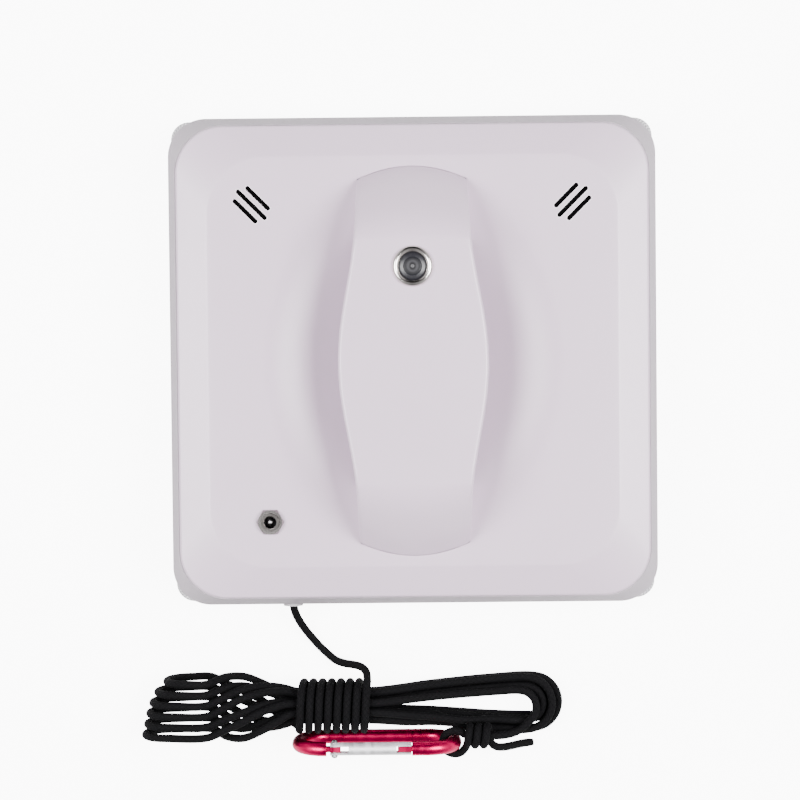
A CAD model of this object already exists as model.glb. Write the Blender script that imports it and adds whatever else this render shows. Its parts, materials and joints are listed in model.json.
import json
import math

import bmesh
import bpy
import numpy as np
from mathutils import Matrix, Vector


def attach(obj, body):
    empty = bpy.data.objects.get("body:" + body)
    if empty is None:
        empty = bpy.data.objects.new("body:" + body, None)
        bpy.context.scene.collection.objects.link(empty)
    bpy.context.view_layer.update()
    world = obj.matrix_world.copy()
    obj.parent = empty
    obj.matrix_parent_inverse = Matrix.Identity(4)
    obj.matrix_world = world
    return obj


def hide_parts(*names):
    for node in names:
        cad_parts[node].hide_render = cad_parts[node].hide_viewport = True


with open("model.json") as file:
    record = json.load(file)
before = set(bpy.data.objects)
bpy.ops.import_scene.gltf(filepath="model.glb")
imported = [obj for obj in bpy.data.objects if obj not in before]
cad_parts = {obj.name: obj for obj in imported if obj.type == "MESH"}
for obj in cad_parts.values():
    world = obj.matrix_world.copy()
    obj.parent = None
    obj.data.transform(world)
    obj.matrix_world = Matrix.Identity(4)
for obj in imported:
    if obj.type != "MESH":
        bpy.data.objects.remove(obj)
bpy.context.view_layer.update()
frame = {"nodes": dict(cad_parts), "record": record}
MM = 0.001
scene = bpy.context.scene

# Camera, fitted to the photo
PHOTO_W, FOCAL_LENGTH, SENSOR_W = 800, 1959.98, 36.0
cam_data = bpy.data.cameras.new("camera")
cam = bpy.data.objects.new("camera", cam_data)
scene.collection.objects.link(cam)
cam_data.sensor_width = SENSOR_W
cam_data.lens = FOCAL_LENGTH * SENSOR_W / PHOTO_W
cam_data.clip_start, cam_data.clip_end = 0.01, 20
cam.location = (-0.000726, 0.009046, 0.98774)
cam.rotation_euler = (-0.02944, 0.00599, -0.01011)
scene.camera = cam

# Values of the model, in millimetres. Rope: diameter and spacing of its strands, and where it leaves the body
ROPE_D, PITCH = 4.0, 4.6
ROPE_R = ROPE_D / 2
EXIT_X, EXIT_Z = -61, 14.5
# Body, cover and plate: sides and corner radii, wall and edge, and heights from the frame's foot up
BODY_W, BODY_CORNER, COVER_W, COVER_CORNER = 240.0, 19.0, 226.0, 23.0
WALL, RIM_EDGE, PLATE_W, PLATE_CORNER = 2.5, 1.6, 195.5, 28.0
FRAME_Z, SEAM_Z, RIM_Z, PLATE_Z, HANDLE_Z, SEAT_Z = 8.5, 46.3, 51.0, 55.0, 87.0, 50.0
BAND_Z = FRAME_Z + 11.5
DISH_W, DISH_L, DISH_DEPTH = 144.0, 175.0, 12.0
# Handle: half length, bulge and half width of its ends, widening at the middle and where it has faded
END_Y, BULGE, END_HALF, BELLY, BELLY_Y = 92.75, 6.2, 26.8, 8, 68
# Handle: half lengths of its level top and of its arch, thickness at the middle, and edge radius
FLAT_Y, ARCH_Y, BRIDGE_T, HANDLE_EDGE = 56, 58, 11, 1.6
# Places of the button, the socket and the vent slots, and the cloth that stands out past the body
BUTTON_Y, SOCKET_X, SOCKET_Y = 44, -69, -76
SLOT_R, SLOT_PITCH, SLOT_L, SLOT_SHORT_L, VENT_X, VENT_Y = 1.1, 4.3, 19.9, 15.8, 76.3, 75.1
CLOTH_W, CLOTH_CORNER, CLOTH_T, CLOTH_RING = 240.4, 9.0, 5.0, 37.0


# Rope route, as in the model's source
def cosd(a):
    return math.cos(math.radians(a))


def sind(a):
    return math.sin(math.radians(a))


def point(*p):
    return np.array(p, float)


def unit(v):
    return v / np.linalg.norm(v)


def share(x, a, b):
    return max(0.0, min(1.0, (x - a) / (b - a)))


# Loops of the hank as (track, layer), and the stations along X of the strands
LOOPS = [(0, 1), (0, 2), (1, 2), (1, 3), (0, 3), (0, 4)]
LAST = len(LOOPS) - 1
RUN = [38, 23.5, 9, -5.5, -22, -36]
LEFT = [-60, -65, -71, -78, -86, -95, -104]
OUT = [-104, -95, -86, -78, -71, -65, -60, -22, 9, 38]
HANK_X, HANK_Y, HANK_L = 73, -172, 210.5
WAIST0, WAIST1, LEFT0, RIGHT0, RISE1 = -63, -22, -104, 45, 9
LIFT = PITCH + 0.025 * ROPE_D
FOLD_L, FOLD_R, STEP_R, LANE, SWAY = 12, 8.5, 3.5, 5.3, 1.2
LEFT_SPREAD, REACH = 11, [0, 0.42, 0.65, 0.8, 0.9, 1]


def lane(k):
    return (k - LAST / 2) * LANE


def sway_of(layer):
    return SWAY if layer == 1 else -SWAY if layer == 4 else 0.0


def middle_z(x):
    """Height of the middle of the strands at x."""
    return (ROPE_R + 1.5 * PITCH + LIFT * (1 - share(x, WAIST1, RISE1))
            + (FOLD_L - 1.5 * PITCH - LIFT) * share(x, WAIST0, LEFT0))


def strand(side, k, x):
    """Point at x on one side of loop k: side by side at the right, turned upright towards the left."""
    track, layer = LOOPS[k]
    t, r = share(x, WAIST0, LEFT0), share(x, WAIST1, RIGHT0)
    near = PITCH / 2
    wider = 1 + 0.16 * share(x, WAIST0 + 3, WAIST0 - 3)
    nested = track * PITCH * wider * (1 - share(t, 0.6, 1))
    out = side * (near * wider + (FOLD_L - near * wider) * t + (FOLD_R - near) * r + nested)
    flat = (layer - 2.5) * PITCH * wider
    up = flat + (lane(k) - flat) * min(1, t / 0.6)
    return point(x, HANK_Y + sway_of(layer) * r + out * cosd(90 * t) - up * sind(90 * t),
                 max(ROPE_R, middle_z(x) + 2 * sind(180 * t) + out * sind(90 * t) + up * cosd(90 * t)))


def left_turn(k):
    """The upright bend of loop k at the left end."""
    inset = LEFT_SPREAD * (1 - REACH[k])
    return [point(HANK_X - HANK_L + inset + ROPE_R + FOLD_L * (1 - cosd(a)), HANK_Y - lane(k),
                  ROPE_R + FOLD_L * (1 + sind(a))) for a in range(-90, 91, 30)]


def right_turn(k, angles=range(-90, 91, 30)):
    """The level bend of loop k at the right end."""
    track, layer = LOOPS[k]
    fold = FOLD_R + 1.03 * PITCH * track
    return [point(HANK_X - 1.5 * ROPE_R - STEP_R * (layer - 1) - FOLD_R + fold * cosd(a),
                  HANK_Y + sway_of(layer) - fold * sind(a), ROPE_R + PITCH * (layer - 1)) for a in angles]


# Wrap round the waist: where it starts, its first angle, and its turns
WRAP_X, WRAP_T0, WRAP_TURNS = -25, 60, 7
WRAP_HALF = 2.5 * PITCH + 0.025 * ROPE_D
WRAP_Z = ROPE_R + WRAP_HALF
DRIFT = 1.4 * ROPE_D


def signed_pow(v, p):
    return math.copysign(abs(v) ** p, v)


def wrap_point(t):
    """Point of the wrap round the waist, t degrees on its way."""
    return point(WRAP_X - PITCH * (t - WRAP_T0) / 360, HANK_Y + WRAP_HALF * signed_pow(cosd(t), 0.8),
                 WRAP_Z + WRAP_HALF * signed_pow(sind(t), 0.8))


wrap_start = wrap_point(WRAP_T0)
wrap_way = unit(wrap_point(WRAP_T0 + 1) - wrap_start)
wrap_joint = wrap_start - wrap_way * ROPE_D
wrap = [wrap_point(t) for t in range(WRAP_T0, 180 + 360 * WRAP_TURNS + 1, 15)]
bend_r = wrap[-1][2] - ROPE_R
tuck = [wrap[-1] - point(bend_r * (1 - cosd(a)), -DRIFT * (1 - cosd(a)), bend_r * sind(a))
        for a in (15, 40, 65, 90)]
hank = [wrap_joint] + wrap + tuck + [strand(-1, 0, x) for x in LEFT[3:]]
for k in range(LAST + 1):
    hank += left_turn(k) + [strand(1, k, x) for x in OUT]
    if k < LAST:
        hank += right_turn(k) + [strand(-1, k + 1 if i + k >= LAST else k, x) for i, x in enumerate(RUN)]
        hank += [strand(-1, k + 1, x) for x in LEFT]
hank += right_turn(LAST, [-90, -60, -30, 0, 22.5, 45])
hank_way = point(-sind(45), -cosd(45), 0)
hank_end = hank[-1] + hank_way * ROPE_D
lead = [point(*p) for p in (
    (-61, -104, 14.5), (-61, -110, 14.5), (-61, -116, 14.5), (-60.9, -121.6, 14.2), (-59.9, -126.2, 11.6),
    (-58, -130.7, 8.4), (-55.4, -135.2, 5.4), (-52.2, -139.6, 3.2), (-48.7, -143.8, 2.2),
    (-44.8, -147.4, 3), (-40.6, -150.4, 5.6), (-36.2, -151.6, 8.4), (-31.4, -151.9, 11.4),
    (-27.4, -152.6, 14.4), (-25, -154.6, 17.4))]
tail = [point(*p) for p in (
    (49.8, -185.2, 16.2), (46, -186.2, 17.6), (42, -186.5, 19.2), (38.4, -186.4, 20.2), (35, -186.3, 20.4),
    (31, -186.3, 20.4), (27, -186.3, 20.4), (24, -185.7, 20.6), (21.4, -184.3, 20.8), (18.5, -183.6, 20.8),
    (14.4, -185.3, 20.6), (12.6, -189.5, 20.4), (14.4, -193.7, 20.2), (18.5, -195.4, 20),
    (21.8, -194.6, 20))]
KNOT_X, KNOT_Y, KNOT_Z, KNOT_R, KNOT_PITCH = 24.6, -186.3, 20.4, 4.6, 4.3
KNOT_START, KNOT_SWEEP = 150, 960
knot = [point(KNOT_X + KNOT_PITCH * t / 360, KNOT_Y + KNOT_R * cosd(KNOT_START - t),
              KNOT_Z + KNOT_R * sind(KNOT_START - t)) for t in range(0, KNOT_SWEEP + 1, 15)]
way_in, way_out = unit(knot[1] - knot[0]), unit(knot[-1] - knot[-2])
free_end = [point(*p) for p in (
    (36.8, -190.8, 15.6), (39.6, -193.2, 14), (43.4, -194, 11.2), (47.4, -194, 8), (51.4, -193.8, 5),
    (55, -193.6, 3), (58.6, -193.4, 2.2))]
ROUTE = (lead + [wrap_joint - wrap_way * ROPE_D] + hank + [hank_end, hank_end + hank_way * ROPE_R] + tail
         + [knot[0] - way_in * ROPE_R] + knot + [knot[-1] + way_out * ROPE_R] + free_end)

SAME_POINT = 1e-4


def smooth_line(points, step, lowest=None):
    """Points about a step apart on a smooth curve through the given ones, and how far along it they are."""
    p = [points[0]]
    for q in points[1:]:
        if np.linalg.norm(q - p[-1]) > SAME_POINT:
            p.append(q)
    p = np.array(p)
    h = np.sqrt(np.linalg.norm(np.diff(p, axis=0), axis=1))[:, None]
    slope = np.diff(p, axis=0) / h
    m = np.zeros_like(p)
    m[1:-1] = (slope[:-1] * h[1:] + slope[1:] * h[:-1]) / (h[1:] + h[:-1])
    m[0], m[-1] = slope[0], slope[-1]
    fine = []
    for i in range(len(p) - 1):
        for u in np.arange(0, 1, 0.1):
            fine.append((2 * u**3 - 3 * u**2 + 1) * p[i] + (u**3 - 2 * u**2 + u) * h[i] * m[i]
                        + (-2 * u**3 + 3 * u**2) * p[i + 1] + (u**3 - u**2) * h[i] * m[i + 1])
    fine = np.array(fine + [p[-1]])
    if lowest is not None:
        fine[:, 2] = np.maximum(fine[:, 2], lowest)
    s = np.concatenate([[0], np.cumsum(np.linalg.norm(np.diff(fine, axis=0), axis=1))])
    at = np.linspace(0, s[-1], int(s[-1] / step) + 1)
    return np.stack([np.interp(at, s, fine[:, k]) for k in range(3)], axis=1), at


def mesh_object(name, verts, faces, smooth=True, uvs=None):
    mesh = bpy.data.meshes.new(name)
    mesh.from_pydata([tuple(v) for v in verts], [], faces)
    if uvs is not None:
        layer = mesh.uv_layers.new(name="UVMap")
        for poly, corners in zip(mesh.polygons, uvs):
            for li, uv in zip(poly.loop_indices, corners):
                layer.data[li].uv = uv
    mesh.validate()
    mesh.update()
    for poly in mesh.polygons:
        poly.use_smooth = smooth
    obj = bpy.data.objects.new(name, mesh)
    scene.collection.objects.link(obj)
    return obj


def swept(name, line, at, radii, sides, caps=True):
    """Round tube along a line in millimetres, with texture coordinates along and around it."""
    line = np.asarray(line)
    way = np.gradient(line, axis=0)
    way /= np.linalg.norm(way, axis=1)[:, None]
    side = np.array((0, 0, 1), float)
    rings = []
    for i in range(len(line)):
        side = side - way[i] * (side @ way[i])
        side /= np.linalg.norm(side)
        up = np.cross(way[i], side)
        a = np.arange(sides) * 2 * math.pi / sides
        rings.append(line[i] + radii[i] * (np.cos(a)[:, None] * side + np.sin(a)[:, None] * up))
    verts = np.concatenate(rings) * MM
    faces, uvs = [], []
    for i in range(len(line) - 1):
        here, there = at[i], at[i + 1]
        for j in range(sides):
            j2 = (j + 1) % sides
            faces.append((i * sides + j, i * sides + j2, (i + 1) * sides + j2, (i + 1) * sides + j))
            low, high = j / sides, (j + 1) / sides
            uvs.append(((here, low), (here, high), (there, high), (there, low)))
    if caps:
        first = list(range(sides))[::-1]
        last = [(len(line) - 1) * sides + j for j in range(sides)]
        for cap, end in ((first, 0), (last, -1)):
            faces.append(tuple(cap))
            uvs.append(tuple((at[end], 0.0) for _ in cap))
    return mesh_object(name, verts, faces, uvs=uvs)


# Safety rope, with a slightly narrowed free end
ROPE_STEP, ROPE_SIDES = 1.6, 14
rope_line, rope_at = smooth_line(ROUTE, ROPE_STEP, ROPE_R)
radii = np.full(len(rope_line), ROPE_R * 0.99)
radii[-1], radii[-2] = ROPE_R * 0.8, ROPE_R * 0.97
rope = swept("safety_rope", rope_line, rope_at / ROPE_D, radii, ROPE_SIDES)
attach(rope, "machine")
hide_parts("rope_lead", "rope_hank", "rope_tail", "rope_knot", "rope_end")


class Mat:
    """A Principled material with helpers for colour, roughness and bump by nodes."""

    def __init__(self, name, color, roughness, metallic=0.0, **values):
        self.material = bpy.data.materials.new(name)
        self.material.use_nodes = True
        self.tree = self.material.node_tree
        self.shader = next(n for n in self.tree.nodes if n.type == "BSDF_PRINCIPLED")
        self.shader.inputs["Base Color"].default_value = (*color, 1)
        self.shader.inputs["Roughness"].default_value = roughness
        self.shader.inputs["Metallic"].default_value = metallic
        for k, v in values.items():
            self.shader.inputs[k.replace("_", " ")].default_value = v
        self.color, self.height = color, None
        self.space = self.node("ShaderNodeTexCoord").outputs["Object"]

    def put_on(self, obj):
        obj.data.materials.clear()
        obj.data.materials.append(self.material)

    def node(self, kind, **props):
        n = self.tree.nodes.new(kind)
        for k, v in props.items():
            setattr(n, k, v)
        return n

    def link(self, a, b):
        self.tree.links.new(a, b)

    def uv_axes(self):
        """The two texture coordinates of a swept piece: along it and around it."""
        split = self.node("ShaderNodeSeparateXYZ")
        self.link(self.node("ShaderNodeTexCoord").outputs["UV"], split.inputs[0])
        return split.outputs[0], split.outputs[1]

    def noise(self, scale, detail=4.0, rough=0.5, stretch=None):
        n = self.node("ShaderNodeTexNoise")
        n.inputs["Scale"].default_value = scale
        n.inputs["Detail"].default_value = detail
        n.inputs["Roughness"].default_value = rough
        source = self.space
        if stretch:
            mapping = self.node("ShaderNodeMapping")
            mapping.inputs["Scale"].default_value = stretch
            self.link(source, mapping.inputs["Vector"])
            source = mapping.outputs["Vector"]
        self.link(source, n.inputs["Vector"])
        return n.outputs["Fac"]

    def math(self, op, a, b=None):
        n = self.node("ShaderNodeMath", operation=op)
        for i, v in enumerate((a, b)):
            if v is None:
                continue
            if isinstance(v, (int, float)):
                n.inputs[i].default_value = v
            else:
                self.link(v, n.inputs[i])
        return n.outputs[0]

    def wave(self, value, halves=1.0):
        """A sine wave along the value, with so many half waves to one unit of it."""
        return self.math("SINE", self.math("MULTIPLY", value, math.pi * halves))

    def ramp(self, fac, stops):
        n = self.node("ShaderNodeValToRGB")
        elements = n.color_ramp.elements
        while len(elements) < len(stops):
            elements.new(0.5)
        for element, (position, color) in zip(elements, stops):
            element.position = position
            element.color = (*color, 1)
        self.link(fac, n.inputs["Fac"])
        return n.outputs["Color"]

    def mix(self, fac, a, b):
        n = self.node("ShaderNodeMix", data_type="RGBA")
        for i, v in ((0, fac), (6, a), (7, b)):
            if isinstance(v, tuple):
                n.inputs[i].default_value = (*v, 1)
            else:
                self.link(v, n.inputs[i])
        return n.outputs[2]

    def colour(self, out):
        self.link(out, self.shader.inputs["Base Color"])
        return self

    def vary(self, scale, low, high):
        """Slow variation of the colour between two strengths."""
        shades = [tuple(min(1, c * strength) for c in self.color) for strength in (low, high)]
        return self.colour(self.ramp(self.noise(scale, 5.0, 0.6), [(0.3, shades[0]), (0.7, shades[1])]))

    def roughen(self, scale, low, high, stretch=None):
        n = self.node("ShaderNodeMapRange")
        for key, v in (("From Min", 0.3), ("From Max", 0.7), ("To Min", low), ("To Max", high)):
            n.inputs[key].default_value = v
        self.link(self.noise(scale, 3.0, 0.5, stretch=stretch), n.inputs["Value"])
        self.link(n.outputs["Result"], self.shader.inputs["Roughness"])
        return self

    def bump(self, height, distance, strength=1.0):
        n = self.node("ShaderNodeBump")
        n.inputs["Strength"].default_value = strength
        n.inputs["Distance"].default_value = distance
        self.link(height, n.inputs["Height"])
        if self.height is not None:
            self.link(self.height, n.inputs["Normal"])
        self.height = n.outputs["Normal"]
        self.link(self.height, self.shader.inputs["Normal"])
        return self


def plastic(name, color, rough, grain=0.00002, scale=2600.0, spread=(0.96, 1.03), coat=0.0, specular=0.5):
    m = Mat(name, color, rough, Coat_Weight=coat, Coat_Roughness=0.3, Specular_IOR_Level=specular)
    m.vary(14.0, *spread).roughen(420.0, rough * 0.88, min(1.0, rough * 1.14))
    m.bump(m.noise(scale, 2.0, 0.55), grain)
    m.bump(m.noise(90.0, 2.0, 0.5), 0.00004, 0.5)
    return m


def metal(name, color, rough, stretch=None, scale=900.0, depth=0.000008):
    m = Mat(name, color, rough, 1.0)
    m.vary(40.0, 0.93, 1.03).roughen(scale * 0.4, rough * 0.8, rough * 1.3, stretch)
    m.bump(m.noise(scale, 3.0, 0.6, stretch=stretch), depth)
    return m


# Materials by slot, then those of single pieces
MATS = {
    "white_shell": plastic("satin_white", (0.645, 0.52, 0.635), 0.36, 0.000012, 3000.0, (0.985, 1.01), 0.6),
    "grey_frame": plastic("fine_grey", (0.46, 0.40, 0.455), 0.5, 0.00002, 2400.0, (0.97, 1.02)),
    "pale_inner": plastic("pale_moulding", (0.62, 0.6, 0.62), 0.55),
    "grey_inner": plastic("grey_moulding", (0.25, 0.25, 0.27), 0.55),
    "black_plastic": plastic("black_moulding", (0.003, 0.003, 0.0035), 0.55),
    "button_dark": plastic("dark_cap", (0.014, 0.014, 0.018), 0.34, 0.000006, 3000.0, (0.95, 1.05), 0.1),
    "chrome": metal("bright_plating", (0.80, 0.75, 0.725), 0.12, depth=0.000003),
    "brass": metal("turned_brass", (0.78, 0.58, 0.28), 0.25),
    "steel": metal("plain_steel", (0.55, 0.55, 0.56), 0.3, (1, 1, 14)),
    "rubber": plastic("moulded_rubber", (0.018, 0.018, 0.019), 0.75, 0.00004, 1800.0),
    "cell_wrap": plastic("shrink_film", (0.04, 0.16, 0.42), 0.3),
    "board": plastic("solder_mask", (0.015, 0.12, 0.05), 0.35, 0.00005, 500.0),
    "red_aluminium": metal("red_anodised", (0.66, 0.0, 0.095), 0.31, (6, 1, 1), 160.0, 0.000002),
    "gate_aluminium": metal("satin_aluminium", (0.96, 0.95, 0.98), 0.58, (6, 1, 1), 160.0, 0.000003),
    "nickel": metal("dull_nickel", (0.30, 0.28, 0.275), 0.24, None, 90.0, 0.000002),
    "pale_rubber": plastic("pale_rubber", (0.42, 0.40, 0.415), 0.7, 0.00003, 1800.0),
    "gauze": plastic("gauze_black", (0.001, 0.001, 0.0012), 0.8, specular=0.05),
    "vent_lip": plastic("lip_white", (0.84, 0.76, 0.83), 0.34, 0.000006, 3000.0, (0.98, 1.02)),
    "dial": plastic("smoked_face", (0.03, 0.029, 0.034), 0.42, 0.000002, 3000.0, (0.9, 1.1), specular=0.18),
}

# Material of the rope: a braided sheath, by the length in diameters and the share of the way round
rope_mat = Mat("braided_rope", (0.004, 0.0039, 0.0045), 0.8, Specular_IOR_Level=0.08)
along, around = rope_mat.uv_axes()
strands_round = rope_mat.math("MULTIPLY", around, 8.0)
strands_along = rope_mat.math("MULTIPLY", along, 2.6)


def strand_wave(sign):
    """Ridges of the strands that slant to one side."""
    slant = rope_mat.math("ADD", strands_along, rope_mat.math("MULTIPLY", strands_round, sign))
    return rope_mat.math("ABSOLUTE", rope_mat.wave(slant))


checks = rope_mat.math("MULTIPLY", rope_mat.wave(strands_along), rope_mat.wave(strands_round))
braid = rope_mat.node("ShaderNodeMix", data_type="FLOAT")
braid_inputs = {0: rope_mat.math("GREATER_THAN", checks, 0.0), 2: strand_wave(1.0), 3: strand_wave(-1.0)}
for i, out in braid_inputs.items():
    rope_mat.link(out, braid.inputs[i])
weave = rope_mat.math("POWER", braid.outputs[0], 0.6)
raised = rope_mat.math("MULTIPLY", weave, 0.8)
sheath = rope_mat.mix(raised, (0.0012, 0.0012, 0.0014), (0.0042, 0.004, 0.0046))
dust = rope_mat.math("MULTIPLY", rope_mat.noise(260.0), 0.35)
rope_mat.colour(rope_mat.mix(dust, sheath, (0.006, 0.0058, 0.0068)))
rope_mat.bump(weave, 0.00022, 0.9).bump(rope_mat.noise(5200.0, 3.0, 0.7), 0.00006, 0.7)
rope_mat.roughen(2600.0, 0.7, 0.9)
rope_mat.put_on(rope)

# Nodes carried over from the CAD model: their materials, and smooth shading by a modifier
MERGE_M, SHARP_DEG = 0.000004, 33
smoothing = bpy.data.node_groups.new("smooth_by_angle", "GeometryNodeTree")
for direction in ("INPUT", "OUTPUT"):
    smoothing.interface.new_socket("Geometry", in_out=direction, socket_type="NodeSocketGeometry")
group_in, group_out, merge, angle, less, face_smooth, edge_smooth = [smoothing.nodes.new(kind) for kind in (
    "NodeGroupInput", "NodeGroupOutput", "GeometryNodeMergeByDistance", "GeometryNodeInputMeshEdgeAngle",
    "FunctionNodeCompare", "GeometryNodeSetShadeSmooth", "GeometryNodeSetShadeSmooth")]
merge.inputs["Distance"].default_value = MERGE_M
edge_smooth.domain = "EDGE"
less.operation = "LESS_THAN"
less.inputs["B"].default_value = math.radians(SHARP_DEG)
smoothing.links.new(group_in.outputs[0], merge.inputs["Geometry"])
smoothing.links.new(merge.outputs[0], face_smooth.inputs["Geometry"])
smoothing.links.new(face_smooth.outputs[0], edge_smooth.inputs["Geometry"])
smoothing.links.new(angle.outputs["Unsigned Angle"], less.inputs["A"])
smoothing.links.new(less.outputs[0], edge_smooth.inputs["Shade Smooth"])
smoothing.links.new(edge_smooth.outputs[0], group_out.inputs[0])


def smooth(obj):
    obj.modifiers.new("smooth_by_angle", "NODES").node_group = smoothing
    obj.modifiers.new("weighted", "WEIGHTED_NORMAL").keep_sharp = True


# Nodes that look unlike the rest of their slot
OWN = {"rope_grommet": "pale_rubber", "socket_nut": "nickel", "vent_gauzes": "gauze", "socket_pin": "steel"}
slot_of = {s["node"]: s["material_slot"] for s in frame["record"]["subparts"]}
for name, obj in frame["nodes"].items():
    slot = OWN.get(name, slot_of[name])
    if slot in MATS:
        MATS[slot].put_on(obj)
    smooth(obj)


# Shells, finer than the CAD solids and in the same place
def ring(hx, hy, rx, ry, z, m=28):
    """A level rounded rectangle, m points to each corner."""
    out = []
    for q in range(4):
        sx, sy = (1 if q in (0, 3) else -1), (1 if q < 2 else -1)
        for j in range(m):
            a = math.radians(90 * (q + (j + 0.5) / m))
            out.append((sx * (hx - rx) + rx * math.cos(a), sy * (hy - ry) + ry * math.sin(a), z))
    return out


def square(half, r, z):
    return ring(half, half, r, r, z)


def loft(name, rings, closed=False):
    """Skin over rings of equal count: joined end to end if closed, else with a cap on each end."""
    n, k = len(rings[0]), len(rings)
    verts = [tuple(c * MM for c in p) for r in rings for p in r]
    faces = [(i * n + j, i * n + (j + 1) % n, (i + 1) % k * n + (j + 1) % n, (i + 1) % k * n + j)
             for i in range(k if closed else k - 1) for j in range(n)]
    if not closed:
        faces += [tuple(range(n))[::-1], tuple((k - 1) * n + j for j in range(n))]
    return outwards(mesh_object(name, verts, faces))


def outwards(obj):
    """Join points that coincide, and turn all faces outwards."""
    bm = bmesh.new()
    bm.from_mesh(obj.data)
    bmesh.ops.remove_doubles(bm, verts=bm.verts, dist=1e-7)
    bmesh.ops.recalc_face_normals(bm, faces=bm.faces)
    bm.to_mesh(obj.data)
    bm.free()
    return obj


def prism(name, outline, start, end, lying=False):
    """Straight cutter between two heights or, if lying, between two places along Y."""
    n = len(outline)
    verts = [((x, c, z) if lying else (x, z, c)) for c in (start, end) for x, z in outline]
    faces = [(j, (j + 1) % n, n + (j + 1) % n, n + j) for j in range(n)]
    faces += [tuple(range(n))[::-1], tuple(range(n, 2 * n))]
    return outwards(mesh_object(name, [tuple(c * MM for c in v) for v in verts], faces, False))


def circle(x, y, r, n=64):
    return [(x + r * math.cos(2 * math.pi * j / n), y + r * math.sin(2 * math.pi * j / n)) for j in range(n)]


def turned(name, profile, x, y, n=72):
    """A revolved piece about an upright axis, from (radius, height) pairs."""
    verts, faces = [], []
    k = len(profile)
    for j in range(n):
        a = 2 * math.pi * j / n
        verts += [((x + r * math.cos(a)) * MM, (y + r * math.sin(a)) * MM, z * MM) for r, z in profile]
        j2 = (j + 1) % n
        faces += [(j * k + i, j2 * k + i, j2 * k + i + 1, j * k + i + 1) for i in range(k - 1)]
    return outwards(mesh_object(name, verts, faces))


def cut(obj, *cutters):
    for c in cutters:
        b = obj.modifiers.new("cut", "BOOLEAN")
        b.operation, b.solver, b.object = "DIFFERENCE", "EXACT", c
    bpy.context.view_layer.update()
    done = bpy.data.meshes.new_from_object(obj.evaluated_get(bpy.context.evaluated_depsgraph_get()))
    obj.modifiers.clear()
    obj.data = done
    for c in cutters:
        bpy.data.objects.remove(c)


def finish_shell(obj, slot, *nodes):
    MATS[slot].put_on(obj)
    smooth(obj)
    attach(obj, "machine")
    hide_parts(*nodes)


# Top cover: skirt, rounded rim, bevel, flat plate and finger dish, and the lining below them
COVER_HALF, PLATE_HALF = COVER_W / 2, PLATE_W / 2
SKIRT_Z, RIM_LOW_Z = SEAM_Z - 1.08, RIM_Z - RIM_EDGE
BEVEL_DEG, BEVEL_EASE = 75, 0.35
DISH_RINGS, DISH_MIDDLE = 44, 0.006


def rim_ring(a):
    """Half width, corner and height of the rim's rounding, a degrees up from its side."""
    inset = RIM_EDGE * (1 - cosd(a))
    return COVER_HALF - inset, COVER_CORNER - inset, RIM_Z - RIM_EDGE * (1 - sind(a))


def dish_ring(s, drop):
    """Ring of the finger dish at the share s of its size, drop below the dish's face."""
    z = PLATE_Z - DISH_DEPTH * (1 - s**2.6) ** 2
    return ring(DISH_W / 2 * s, DISH_L / 2 * s, DISH_W / 2 * s, DISH_L / 2 * s, z - drop)


# Rings beside an edge, a few tenths away, keep the faces next to it flat in their shading
dish_shares = [1 - i / DISH_RINGS for i in range(DISH_RINGS)] + [DISH_MIDDLE]
skin = [square(COVER_HALF, COVER_CORNER, z) for z in (SKIRT_Z, SEAM_Z + 0.5, RIM_LOW_Z - 0.3, RIM_LOW_Z)]
skin += [square(*rim_ring(a)) for a in range(10, BEVEL_DEG, 8)]
bevel_half, _, bevel_z = rim_ring(BEVEL_DEG)
for u in (0.04, 0.5, 0.93):
    corner = COVER_CORNER + (PLATE_CORNER - COVER_CORNER) * u
    skin.append(square(bevel_half + (PLATE_HALF - bevel_half) * u, corner, bevel_z + (PLATE_Z - bevel_z) * u))
skin += [square(PLATE_HALF + BEVEL_EASE, PLATE_CORNER, PLATE_Z - 0.1),
         square(PLATE_HALF - BEVEL_EASE, PLATE_CORNER, PLATE_Z),
         square(PLATE_HALF - 3, PLATE_CORNER - 2, PLATE_Z)]
skin += [dish_ring(s, 0) for s in dish_shares]
lining = [dish_ring(s, WALL) for s in dish_shares[::-1]]
lining += [square(PLATE_HALF, PLATE_CORNER, PLATE_Z - WALL)]
lining += [square(COVER_HALF - WALL, COVER_CORNER - WALL, z) for z in (RIM_Z - WALL, SKIRT_Z)]
cover = loft("cover_skin", lining + skin)


def handle_half(y):
    """Half width of the handle at y, before its ends round off."""
    t = min(1, abs(y) / BELLY_Y)
    return END_HALF + BELLY * (0.5 + 0.5 * math.cos(math.pi * t)) - (abs(y) / END_Y) ** 4


def end_half(y):
    """Half width of the handle at y, with its ends' bulge."""
    short = (END_Y - abs(y)) / BULGE
    return handle_half(y) if short >= 1 else handle_half(END_Y - BULGE) * math.sqrt(max(0, short))


# How far the ends stand above the plate, the gap round the feet, and from where the feet are filled
END_LIFT, POCKET_GAP, FILLED_Y = 0.03, 0.03, 57.6


def roll_z(x, y):
    """Height of the handle's top, level at its middle and rolled down at its ends."""
    far = abs(y) + BULGE * (x / END_HALF) ** 2 * min(1, abs(y) / END_Y)
    u = max(0, min(1, (far - FLAT_Y) / (END_Y - FLAT_Y)))
    return PLATE_Z + END_LIFT + (HANDLE_Z - PLATE_Z - END_LIFT) * max(0, math.cos(math.pi / 2 * u)) ** 0.85


def arch_z(y):
    """Height of the arch below the handle."""
    u = min(1, abs(y) / ARCH_Y)
    return SEAT_Z + (HANDLE_Z - BRIDGE_T - SEAT_Z) * math.sqrt(max(0, 1 - u**3))


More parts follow.
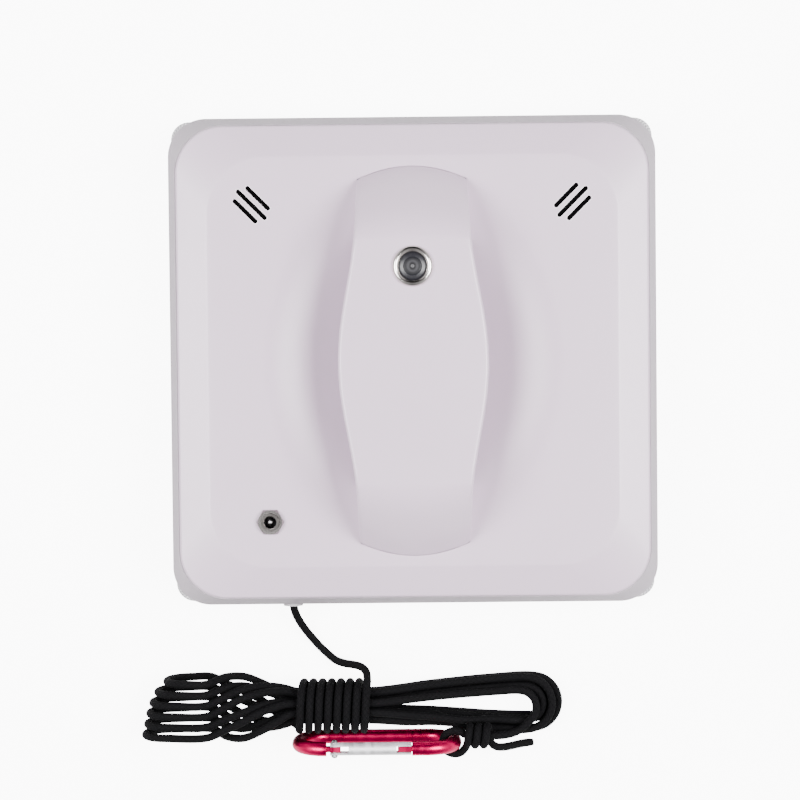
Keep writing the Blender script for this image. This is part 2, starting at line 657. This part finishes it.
def foot_outline(side):
    """Outline of the pocket for a foot of the handle, with its gap."""
    w, wide = handle_half(ARCH_Y) + POCKET_GAP, handle_half(END_Y - BULGE) + POCKET_GAP
    bulge = [(s * wide, END_Y - BULGE * s * s + POCKET_GAP) for s in (1 - 2 * i / 40 for i in range(41))]
    return [(x, side * y) for x, y in [(w, ARCH_Y - POCKET_GAP)] + bulge + [(-w, ARCH_Y - POCKET_GAP)]]


def slot_loop(i, r):
    """Outline of vent slot i of a group, or of a line round it, along the slot's own axes."""
    half_l = (SLOT_L if i == 0 else SLOT_SHORT_L) / 2 - SLOT_R
    bend = [(r * math.cos(a), half_l + r * math.sin(a)) for a in np.linspace(0, math.pi, 13)]
    return [(i * SLOT_PITCH + x, y) for x, y in bend] + [(i * SLOT_PITCH - x, -y) for x, y in bend]


def vent_place(side, x, y):
    """Place of a point of the slots' own axes, which are turned by 45 degrees."""
    turn = math.sqrt(0.5)
    return side * (VENT_X + (x + y) * turn), VENT_Y + (y - x) * turn


# Openings in the cover: pockets for the handle's feet, vent slots and the socket's hole
SOCKET_HOLE_R = 4.35
cover_cut = PLATE_Z - 6, PLATE_Z + 2
cutters = [prism("cut_foot", foot_outline(side), SEAT_Z, PLATE_Z + 5) for side in (-1, 1)]
vents = [(side, i) for side in (-1, 1) for i in (-1, 0, 1)]
for side, i in vents:
    cutters.append(prism("cut_vent", [vent_place(side, x, y) for x, y in slot_loop(i, SLOT_R)], *cover_cut))
cutters.append(prism("cut_socket", circle(SOCKET_X, SOCKET_Y, SOCKET_HOLE_R), *cover_cut))
cut(cover, *cutters)
finish_shell(cover, "white_shell", "top_cover")

# Handle: upper shell, and the hollow that the underside plate closes
# Stations along Y, close together where the arch ends and where the ends round off
half_ys = [*np.linspace(0, FLAT_Y, 15), *np.linspace(57, 59, 5), *np.linspace(61, 86, 18),
           87.5, 88.8, 89.9, 90.8, 91.5, 92.0, 92.35, 92.6]
handle_ys = sorted({round(side * y, 4) for side in (-1, 1) for y in half_ys})


def section(y, inset, base):
    """Section of the handle at y, from the height base up, within the given inset."""
    w = end_half(y) - inset
    r = min(HANDLE_EDGE, w / 2)
    side_z = max(base + 0.25, roll_z(w, y) - inset - r)
    edge = [(w - r * (1 - cosd(a)), y, side_z + r * sind(a)) for a in (22, 45, 67)]
    top = [(x * (w - r), y, max(side_z + r, roll_z(x * (w - r), y) - inset)) for x in np.linspace(-1, 1, 33)]
    left = [(-w, y, base), (-w, y, side_z)] + [(-x, y, z) for x, y, z in edge]
    return left + top + edge[::-1] + [(w, y, side_z), (w, y, base)]


BUTTON_HOLE_R = 7.9
handle = loft("handle_skin", [section(y, 0, arch_z(y)) for y in handle_ys])
hollow = loft("cut_hollow", [section(y, WALL, arch_z(y) - 1) for y in handle_ys if abs(y) < FILLED_Y])
cut(handle, hollow, prism("cut_button", circle(0, BUTTON_Y, BUTTON_HOLE_R), HANDLE_Z - 4, HANDLE_Z + 3))
finish_shell(handle, "white_shell", "handle_shell")

# Side frame: rounded foot, upright band, slope, and the groove and shelf below the cover
FOOT_EDGE, SEAM_STEP, SHELF_Z = 1.2, 0.8, SEAM_Z - 1.1
EXIT_HOLE_R, EXIT_HOLE_Y = 3.35, (-123, -112)
SLOPE_SHARES = [(0, 0), (0.1, 0.07), (0.2, 0.17), (0.3, 0.27), (0.42, 0.41), (0.55, 0.55), (0.68, 0.69),
                (0.8, 0.82), (0.9, 0.915), (1, 1)]


def slope_ring(up, inwards, inset=0):
    """Ring of the slope at shares of its height and of its way inwards."""
    half = BODY_W / 2 + (COVER_HALF + SEAM_STEP - BODY_W / 2) * inwards
    corner = BODY_CORNER + (COVER_CORNER - BODY_CORNER) * inwards
    return square(half - inset, corner - inset, BAND_Z + (SEAM_Z - BAND_Z) * up)


outer = []
for a in (0, 22, 45, 67, 90):
    inset = FOOT_EDGE * (1 - sind(a))
    outer.append(square(BODY_W / 2 - inset, BODY_CORNER - inset, FRAME_Z + FOOT_EDGE * (1 - cosd(a))))
outer.append(square(BODY_W / 2, BODY_CORNER, BAND_Z - 0.8))
outer += [slope_ring(*shares) for shares in SLOPE_SHARES]
outer += [square(COVER_HALF + 0.55, COVER_CORNER + 0.5, SEAM_Z - 0.05),
          square(COVER_HALF + 0.1, COVER_CORNER + 0.1, SHELF_Z),
          square(COVER_HALF - WALL - 0.4, COVER_CORNER - WALL, SHELF_Z)]
inner = [slope_ring(*shares, WALL) for shares in SLOPE_SHARES[-2::-3]]
inner.append(square(BODY_W / 2 - WALL, BODY_CORNER - WALL, FRAME_Z))
wall = loft("frame_skin", outer + inner, closed=True)
cut(wall, prism("cut_bore", circle(EXIT_X, EXIT_Z, EXIT_HOLE_R, 32), *EXIT_HOLE_Y, lying=True))
finish_shell(wall, "grey_frame", "side_frame")

# Raised lips round the vent slots
LIP_R, LIP_H, LIP_SINK, LIP_OUT, LIP_POINTS = 0.24, 0.12, 0.02, 0.2, 6
lip_verts, lip_faces = [], []
for side, i in vents:
    loop = slot_loop(i, SLOT_R + LIP_OUT)
    base = len(lip_verts)
    for j, (x, y) in enumerate(loop):
        j2 = (j + 1) % len(loop)
        out = unit(point(loop[j2][1] - loop[j - 1][1], loop[j - 1][0] - loop[j2][0]))
        for k in range(LIP_POINTS):
            a = math.pi * k / (LIP_POINTS - 1)
            wx, wy = vent_place(side, x + out[0] * LIP_R * math.cos(a), y + out[1] * LIP_R * math.cos(a))
            lip_verts.append((wx * MM, wy * MM, (PLATE_Z - LIP_SINK + LIP_H * math.sin(a)) * MM))
        here, there = base + j * LIP_POINTS, base + j2 * LIP_POINTS
        lip_faces += [(here + k, here + k + 1, there + k + 1, there + k) for k in range(LIP_POINTS - 1)]
lips = outwards(mesh_object("vent_lips", lip_verts, lip_faces))
MATS["vent_lip"].put_on(lips)
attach(lips, "machine")

# Face of the power button: rings moulded in its dome, told apart by their shade
CAP_Z, CAP_R, DOME_H, DIAL_R, DIAL_Z = 86.8, 6.4, 1.6, 5.0, 88.5
RELIEF = [(0.7, 0.02), (1.0, 0.12), (1.5, 0.12), (1.8, 0.03), (2.6, 0.03), (2.9, 0.16), (3.5, 0.2),
          (3.9, 0.14), (4.2, 0.02), (4.5, -0.05)]
DIAL_SHADES = [(0.1, (0.12, 0.118, 0.125)), (0.2, (0.004, 0.004, 0.005)), (0.46, (0.045, 0.044, 0.049)),
               (0.62, (0.016, 0.016, 0.018)), (0.86, (0.010, 0.010, 0.013))]


def crown(r):
    """Height of the cap's dome at the radius r."""
    return CAP_Z + DOME_H * math.sqrt(max(0.0, 1 - (r / CAP_R) ** 2 * 0.96))


dial = turned("button_face", [(0.01, crown(0) - 0.02)] + [(r, crown(r) + h) for r, h in RELIEF], 0, BUTTON_Y)
dial_mat = MATS["dial"]
from_middle = dial_mat.node("ShaderNodeVectorMath", operation="DISTANCE")
dial_mat.link(dial_mat.space, from_middle.inputs[0])
from_middle.inputs[1].default_value = (0, BUTTON_Y * MM, DIAL_Z * MM)
dial_share = dial_mat.math("MULTIPLY", from_middle.outputs["Value"], 1 / (DIAL_R * MM))
dial_mat.colour(dial_mat.ramp(dial_share, DIAL_SHADES))
dial_mat.put_on(dial)
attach(dial, "power_button")

# Bright lip of the socket's sleeve
COLLAR = [(3.0, 0.6), (3.0, 1.75), (3.2, 1.95), (3.55, 1.95), (3.8, 1.7), (3.8, 0.6)]
collar = turned("socket_collar", [(r, PLATE_Z + up) for r, up in COLLAR], SOCKET_X, SOCKET_Y)
MATS["chrome"].put_on(collar)
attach(collar, "machine")

# Cleaning cloth: a crowned ring with a sewn and slightly rippled edge
CLOTH_STEPS, CLOTH_HALF = 26, CLOTH_W / 2
SEAM_IN, SEAM_W, SEAM_DEPTH = 3.4, 0.9, 0.5
TOP_ROUNDING, FOOT_ROUNDING, SUNK = 3.2, 2.4, 0.05


def cloth_height(d, rounding):
    """How far the cloth has rounded off towards its edges, from 0 to 1, at d from the outer edge."""
    return math.sqrt(min(1, min(d, CLOTH_RING - d) / rounding))


profile = []
for i in range(CLOTH_STEPS + 1):
    d = CLOTH_RING * (i / CLOTH_STEPS)
    seam = SEAM_DEPTH * math.exp(-((d - SEAM_IN) / SEAM_W) ** 2)
    profile.append((d, min(CLOTH_T - SUNK, CLOTH_T * (0.5 + 0.5 * cloth_height(d, TOP_ROUNDING)) - seam)))
for i in range(CLOTH_STEPS + 1):
    d = CLOTH_RING * (1 - i / CLOTH_STEPS)
    profile.append((d, CLOTH_T * 0.5 * (1 - cloth_height(d, FOOT_ROUNDING))))
cloth_rings = []
for d, z in profile:
    half, corner = CLOTH_HALF - d, max(1.5, CLOTH_CORNER - d * 0.3)
    cloth_rings.append(ring(half, half, corner, corner, z, 36))
cloth = loft("cleaning_pad", cloth_rings, closed=True)

# Ripples of the cloth's edge: height in metres, number round the cloth, and phase
RIPPLES = [(0.00018, 46, 0.0), (0.00012, 91, 1.3)]
RIPPLE_FROM, RIPPLE_OVER = 0.1155, 0.004
places = np.array([v.co for v in cloth.data.vertices])
angles = np.arctan2(places[:, 1], places[:, 0])
ripple = sum(height * np.sin(angles * count + phase) for height, count, phase in RIPPLES)
outwards_share = (np.maximum(abs(places[:, 0]), abs(places[:, 1])) - RIPPLE_FROM) / RIPPLE_OVER
upwards_share = (places[:, 2] - 0.001) / 0.003
places[:, 2] += ripple * np.clip(outwards_share, 0, 1) * np.clip(upwards_share, 0, 1)
places[:, 2] = np.maximum(places[:, 2], 0)
cloth.data.vertices.foreach_set("co", places.astype(np.float32).ravel())

cloth_mat = Mat("microfibre", (0.72, 0.70, 0.72), 0.95, Sheen_Weight=0.4, Sheen_Roughness=0.6)
tufts = cloth_mat.node("ShaderNodeTexVoronoi", feature="F1")
tufts.inputs["Scale"].default_value = 720.0
cloth_mat.link(cloth_mat.space, tufts.inputs["Vector"])
between = tufts.outputs["Distance"]
tint = cloth_mat.mix(cloth_mat.noise(150.0, 5.0, 0.6), (0.74, 0.72, 0.745), (0.86, 0.845, 0.865))
cloth_mat.colour(cloth_mat.mix(cloth_mat.math("MULTIPLY", between, 0.35), tint, (0.36, 0.345, 0.37)))
cloth_mat.roughen(500.0, 0.88, 1.0)
pile = cloth_mat.math("SUBTRACT", 1.0, between)
cloth_mat.bump(pile, 0.0006, 0.9).bump(cloth_mat.noise(2400.0, 3.0, 0.7), 0.0002, 0.8)
cloth_mat.put_on(cloth)
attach(cloth, "machine")
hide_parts("cleaning_cloth")

# Overlock binding: a thin cord of thread all round the edge, with its stitches
BINDING_R, BINDING_IN, BINDING_Z, BINDING_STEP = 1.15, 1.0, 3.0, 1.5
edge_half, edge_corner = CLOTH_HALF - BINDING_IN, CLOTH_CORNER - BINDING_IN
edge = [np.array(p) for p in ring(edge_half, edge_half, edge_corner, edge_corner, BINDING_Z, 40)]
edge_line, edge_at = smooth_line(edge + edge[:1], BINDING_STEP)
binding = swept("pad_binding", edge_line, edge_at, np.full(len(edge_line), BINDING_R), 8, caps=False)
thread_mat = Mat("binding_thread", (0.42, 0.40, 0.43), 0.9, Sheen_Weight=0.3)
along, around = thread_mat.uv_axes()
stitch_way = thread_mat.math("ADD", along, thread_mat.math("MULTIPLY", around, 1.4))
stitches = thread_mat.math("ABSOLUTE", thread_mat.wave(stitch_way, 0.62))
raised = thread_mat.math("POWER", stitches, 0.5)
thread_mat.colour(thread_mat.mix(raised, (0.38, 0.365, 0.39), (0.84, 0.825, 0.85)))
thread_mat.roughen(900.0, 0.8, 0.98)
thread_mat.bump(stitches, 0.0004, 0.9)
thread_mat.put_on(binding)
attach(binding, "machine")

# Floor: it glows for the camera alone, because the photo's object is cut out on white
FLOOR_HALF, FLOOR_Z, GLOW = 6, -0.0004, 8.5
floor_corners = [(x * FLOOR_HALF, y * FLOOR_HALF, FLOOR_Z) for x, y in ((-1, -1), (1, -1), (1, 1), (-1, 1))]
floor = mesh_object("floor", floor_corners, [(0, 1, 2, 3)], False)
floor_mat = Mat("floor_white", (0.75, 0.75, 0.75), 0.8, Emission_Strength=1.0)
floor_mat.shader.inputs["Emission Color"].default_value = (1, 1, 1, 1)
floor_shades = [(0.3, (0.745, 0.745, 0.745)), (0.7, (0.755, 0.755, 0.755))]
floor_mat.colour(floor_mat.ramp(floor_mat.noise(3.0, 2.0), floor_shades))
seen = floor_mat.node("ShaderNodeLightPath").outputs["Is Camera Ray"]
floor_mat.link(floor_mat.math("MULTIPLY", seen, GLOW), floor_mat.shader.inputs["Emission Strength"])
floor_mat.put_on(floor)


def softbox(name, place, power, target=(0, 0, 0.05), size=(0.7, 0.8)):
    light = bpy.data.lights.new(name, "AREA")
    light.energy, light.shape = power, "RECTANGLE"
    light.size, light.size_y = size
    obj = bpy.data.objects.new(name, light)
    scene.collection.objects.link(obj)
    obj.location = place
    obj.rotation_euler = (Vector(target) - Vector(place)).to_track_quat("-Z", "Y").to_euler()


softbox("box_right", (0.80, 0.0, 1.30), 41)
softbox("box_left", (-0.80, 0.0, 1.30), 34)

# Studio round the object: bright at both sides, dim above and behind
world = bpy.data.worlds.new("studio")
world.use_nodes = True
links, background = world.node_tree.links, world.node_tree.nodes["Background"]


def world_node(kind, *values, **props):
    n = world.node_tree.nodes.new(kind)
    for k, v in props.items():
        setattr(n, k, v)
    for i, v in enumerate(values):
        if isinstance(v, (int, float)):
            n.inputs[i].default_value = v
        else:
            links.new(v, n.inputs[i])
    return n


def world_math(op, *values):
    return world_node("ShaderNodeMath", *values, operation=op).outputs[0]


def span(value, lo, hi, to_lo, to_hi):
    return world_node("ShaderNodeMapRange", value, lo, hi, to_lo, to_hi).outputs["Result"]


way = world_node("ShaderNodeSeparateXYZ", world_node("ShaderNodeTexCoord").outputs["Generated"])
sideways = world_math("ABSOLUTE", way.outputs[0])
sides = span(world_math("POWER", sideways, 1.3), 0.0, 1.0, 0.22, 1.0)
behind = span(way.outputs[1], 0.15, 0.45, 0.0, 1.0)
narrow = span(sideways, 0.3, 0.55, 0.9, 0.0)
dim = world_math("SUBTRACT", 1.0, world_math("MULTIPLY", behind, narrow))
background.inputs[0].default_value = (1, 0.995, 1, 1)
links.new(world_math("MULTIPLY", sides, dim), background.inputs[1])
scene.world = world
